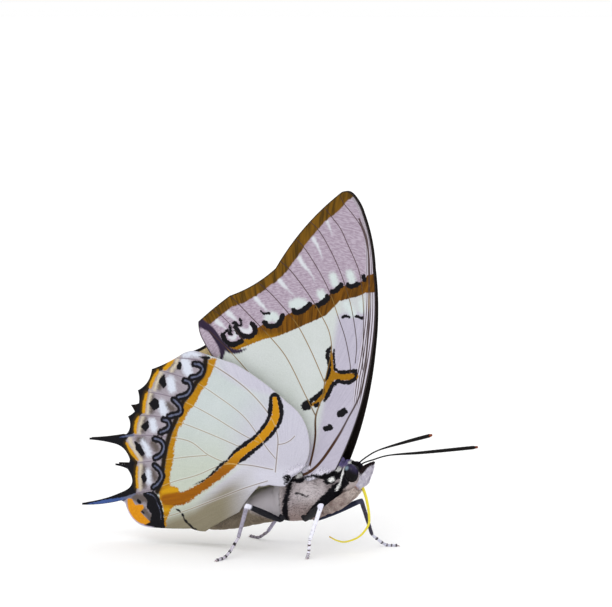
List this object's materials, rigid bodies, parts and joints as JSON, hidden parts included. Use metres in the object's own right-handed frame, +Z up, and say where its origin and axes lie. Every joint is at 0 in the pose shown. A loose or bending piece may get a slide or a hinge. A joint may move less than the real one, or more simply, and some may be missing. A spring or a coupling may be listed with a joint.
{
  "type": "great nawab butterfly",
  "caption": "Great nawab butterfly standing with closed upright wings, tailed hindwings, forward feelers and a half uncoiled proboscis; a still life-size model.",
  "frame": {"origin": "centre of the bounding box's underside, on the floor between the feet", "axes": "+X towards the head, +Y towards the butterfly's left, +Z up"},
  "size_m": [0.0732, 0.0268, 0.065],
  "materials": {
    "forewing": "scaled, matt",
    "hindwing": "scaled, matt",
    "thorax": "short fur",
    "abdomen": "scaled, matt",
    "head": "short fur",
    "eye": "glossy",
    "palp": "short fur",
    "proboscis": "satin",
    "antenna": "satin",
    "foreleg": "short fur",
    "midleg": "scaled",
    "hindleg": "scaled"
  },
  "bodies": {
    "root": {"thorax": "thorax", "abdomen": "abdomen", "head": "head", "eye_left": "eye", "eye_right": "eye", "palp_left": "palp", "palp_right": "palp", "proboscis": "proboscis", "antenna_left": "antenna", "antenna_right": "antenna", "foreleg_left": "foreleg", "foreleg_right": "foreleg", "midleg_left": "midleg", "midleg_right": "midleg", "hindleg_left": "hindleg", "hindleg_right": "hindleg", "forewing_left": "forewing", "forewing_right": "forewing", "hindwing_left": "hindwing", "hindwing_right": "hindwing"}
  },
  "joints": []
}
